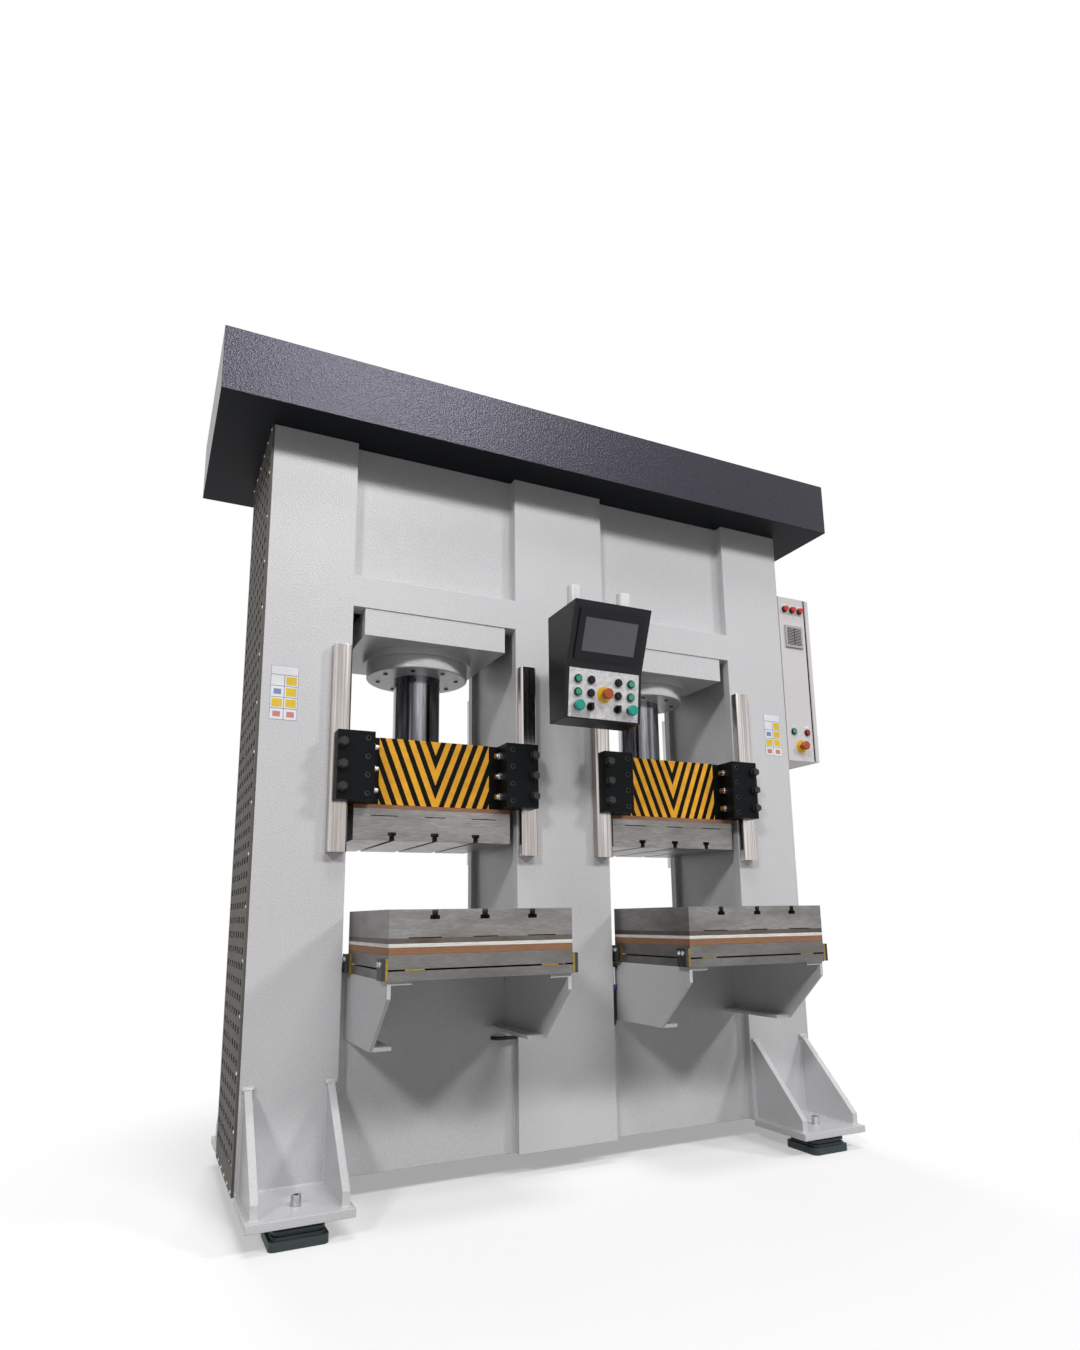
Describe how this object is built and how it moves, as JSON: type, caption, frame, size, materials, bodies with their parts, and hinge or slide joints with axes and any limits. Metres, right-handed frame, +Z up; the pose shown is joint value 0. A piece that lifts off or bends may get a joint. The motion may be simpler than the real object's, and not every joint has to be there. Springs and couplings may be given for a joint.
{
  "type": "hydraulic press",
  "caption": "Upright hydraulic press with side-by-side guided slides, T-slot platens, pull-out tables, a control pendant and a side cabinet under a wide canopy.",
  "frame": {"origin": "on the floor, under the middle of the whole machine's box", "axes": "+X to the operator's right, +Y away from the operator, +Z up"},
  "size_m": [2.718, 1.315, 2.944],
  "materials": {
    "frame_paint": "textured light grey paint",
    "canopy_paint": "textured anthracite paint",
    "panel_steel": "brushed stainless sheet",
    "gland_steel": "grey paint",
    "barrel_steel": "machined",
    "rail_steel": "ground and polished",
    "mount_rubber": "ribbed black rubber",
    "bed_steel": "ground",
    "pendant_paint": "black powder coat",
    "screen": "dark bezel and glass",
    "button_sheet": "light grey sheet",
    "cabinet_paint": "light grey powder coat",
    "cabinet_trim": "lamps, grille and rings",
    "switchgear": "grey switchgear",
    "tank_paint": "grey-blue paint",
    "motor_iron": "painted castings",
    "pipe_steel": "zinc-plated",
    "rod_chrome": "hard chrome",
    "slide_steel": "grey paint",
    "guide_black": "black oxide",
    "screw_steel": "zinc-plated",
    "platen_steel": "ground",
    "board": "insulating board",
    "liner_brass": "brass",
    "green_plastic": "green caps",
    "black_plastic": "black caps",
    "hand_plastic": "green heads",
    "red_plastic": "red heads"
  },
  "bodies": {
    "frame": {"frame_plates": "frame_paint", "column_webs": "frame_paint", "beam_panels": "frame_paint", "cylinder_blocks": "frame_paint", "cylinder_barrels": "barrel_steel", "rod_glands": "gland_steel", "guide_rails": "rail_steel", "feet": "frame_paint", "machine_mounts": "mount_rubber", "side_panels": "panel_steel", "canopy": "canopy_paint", "bed_plates": "bed_steel", "table_brackets": "frame_paint", "pendant_box": "pendant_paint", "pendant_mount": "pendant_paint", "operator_screen": "screen", "button_plate": "button_sheet", "cabinet_body": "cabinet_paint", "cabinet_fittings": "cabinet_trim", "cabinet_gear": "switchgear", "oil_tank": "tank_paint", "motor_pump": "motor_iron", "valves_and_pipes": "pipe_steel"},
    "left_ram": {"left_rod": "rod_chrome", "left_slide": "slide_steel", "left_guide_blocks": "guide_black", "left_guide_screws": "screw_steel", "left_upper_platen": "platen_steel", "left_upper_board": "board"},
    "left_table": {"left_lower_platen": "platen_steel", "left_table_boards": "board", "left_shuttle_plate": "platen_steel", "left_table_liners": "liner_brass"},
    "right_ram": {"right_rod": "rod_chrome", "right_slide": "slide_steel", "right_guide_blocks": "guide_black", "right_guide_screws": "screw_steel", "right_upper_platen": "platen_steel", "right_upper_board": "board"},
    "right_table": {"right_lower_platen": "platen_steel", "right_table_boards": "board", "right_shuttle_plate": "platen_steel", "right_table_liners": "liner_brass"},
    "cabinet_door": {"cabinet_door": "cabinet_paint"},
    "left_upper_green_button": {"left_upper_green_button": "green_plastic"},
    "left_lower_green_button": {"left_lower_green_button": "green_plastic"},
    "right_upper_green_button": {"right_upper_green_button": "green_plastic"},
    "right_lower_green_button": {"right_lower_green_button": "green_plastic"},
    "left_upper_black_button": {"left_upper_black_button": "black_plastic"},
    "left_lower_black_button": {"left_lower_black_button": "black_plastic"},
    "right_upper_black_button": {"right_upper_black_button": "black_plastic"},
    "right_lower_black_button": {"right_lower_black_button": "black_plastic"},
    "left_hand_button": {"left_hand_button": "hand_plastic"},
    "right_hand_button": {"right_hand_button": "hand_plastic"},
    "emergency_stop": {"emergency_stop": "red_plastic"},
    "left_selector": {"left_selector": "black_plastic"},
    "right_selector": {"right_selector": "black_plastic"},
    "cabinet_green_button": {"cabinet_green_button": "green_plastic"},
    "cabinet_red_button": {"cabinet_red_button": "red_plastic"},
    "cabinet_emergency_stop": {"cabinet_emergency_stop": "red_plastic"}
  },
  "joints": [
    {"name": "left_ram_slide", "type": "slide", "parent": "frame", "child": "left_ram", "axis": [0, 0, 1], "range_m": [-0.17, 0.29]},
    {"name": "left_table_slide", "type": "slide", "parent": "frame", "child": "left_table", "axis": [0, 1, 0], "range_m": [0, 0.5]},
    {"name": "right_ram_slide", "type": "slide", "parent": "frame", "child": "right_ram", "axis": [0, 0, 1], "range_m": [-0.17, 0.29]},
    {"name": "right_table_slide", "type": "slide", "parent": "frame", "child": "right_table", "axis": [0, 1, 0], "range_m": [0, 0.5]},
    {"name": "cabinet_door_hinge", "type": "hinge", "parent": "frame", "child": "cabinet_door", "pos_m": [1.3385, 0.3405, 2.009], "axis": [0, 0, 1], "range_deg": [0, 110]},
    {"name": "left_upper_green_button_press", "type": "slide", "parent": "frame", "child": "left_upper_green_button", "axis": [0, 0.9933, 0.1156], "range_m": [0, 0.004], "stiffness_N_per_m": 600, "springref_m": -0.003},
    {"name": "left_lower_green_button_press", "type": "slide", "parent": "frame", "child": "left_lower_green_button", "axis": [0, 0.9933, 0.1156], "range_m": [0, 0.004], "stiffness_N_per_m": 600, "springref_m": -0.003},
    {"name": "right_upper_green_button_press", "type": "slide", "parent": "frame", "child": "right_upper_green_button", "axis": [0, 0.9933, 0.1156], "range_m": [0, 0.004], "stiffness_N_per_m": 600, "springref_m": -0.003},
    {"name": "right_lower_green_button_press", "type": "slide", "parent": "frame", "child": "right_lower_green_button", "axis": [0, 0.9933, 0.1156], "range_m": [0, 0.004], "stiffness_N_per_m": 600, "springref_m": -0.003},
    {"name": "left_upper_black_button_press", "type": "slide", "parent": "frame", "child": "left_upper_black_button", "axis": [0, 0.9933, 0.1156], "range_m": [0, 0.004], "stiffness_N_per_m": 600, "springref_m": -0.003},
    {"name": "left_lower_black_button_press", "type": "slide", "parent": "frame", "child": "left_lower_black_button", "axis": [0, 0.9933, 0.1156], "range_m": [0, 0.004], "stiffness_N_per_m": 600, "springref_m": -0.003},
    {"name": "right_upper_black_button_press", "type": "slide", "parent": "frame", "child": "right_upper_black_button", "axis": [0, 0.9933, 0.1156], "range_m": [0, 0.004], "stiffness_N_per_m": 600, "springref_m": -0.003},
    {"name": "right_lower_black_button_press", "type": "slide", "parent": "frame", "child": "right_lower_black_button", "axis": [0, 0.9933, 0.1156], "range_m": [0, 0.004], "stiffness_N_per_m": 600, "springref_m": -0.003},
    {"name": "left_hand_button_press", "type": "slide", "parent": "frame", "child": "left_hand_button", "axis": [0, 0.9933, 0.1156], "range_m": [0, 0.006], "stiffness_N_per_m": 600, "springref_m": -0.003},
    {"name": "right_hand_button_press", "type": "slide", "parent": "frame", "child": "right_hand_button", "axis": [0, 0.9933, 0.1156], "range_m": [0, 0.006], "stiffness_N_per_m": 600, "springref_m": -0.003},
    {"name": "emergency_stop_press", "type": "slide", "parent": "frame", "child": "emergency_stop", "axis": [0, 0.9933, 0.1156], "range_m": [0, 0.006]},
    {"name": "left_selector_turn", "type": "hinge", "parent": "frame", "child": "left_selector", "pos_m": [-0.057, -0.50593, 1.66247], "axis": [0, -0.9933, -0.1156], "range_deg": [-45, 45]},
    {"name": "right_selector_turn", "type": "hinge", "parent": "frame", "child": "right_selector", "pos_m": [0.057, -0.50593, 1.66247], "axis": [0, -0.9933, -0.1156], "range_deg": [-45, 45]},
    {"name": "cabinet_green_button_press", "type": "slide", "parent": "frame", "child": "cabinet_green_button", "axis": [0, 1, 0], "range_m": [0, 0.004], "stiffness_N_per_m": 600, "springref_m": -0.003},
    {"name": "cabinet_red_button_press", "type": "slide", "parent": "frame", "child": "cabinet_red_button", "axis": [0, 1, 0], "range_m": [0, 0.004], "stiffness_N_per_m": 600, "springref_m": -0.003},
    {"name": "cabinet_emergency_stop_press", "type": "slide", "parent": "frame", "child": "cabinet_emergency_stop", "axis": [0, 1, 0], "range_m": [0, 0.006]}
  ]
}
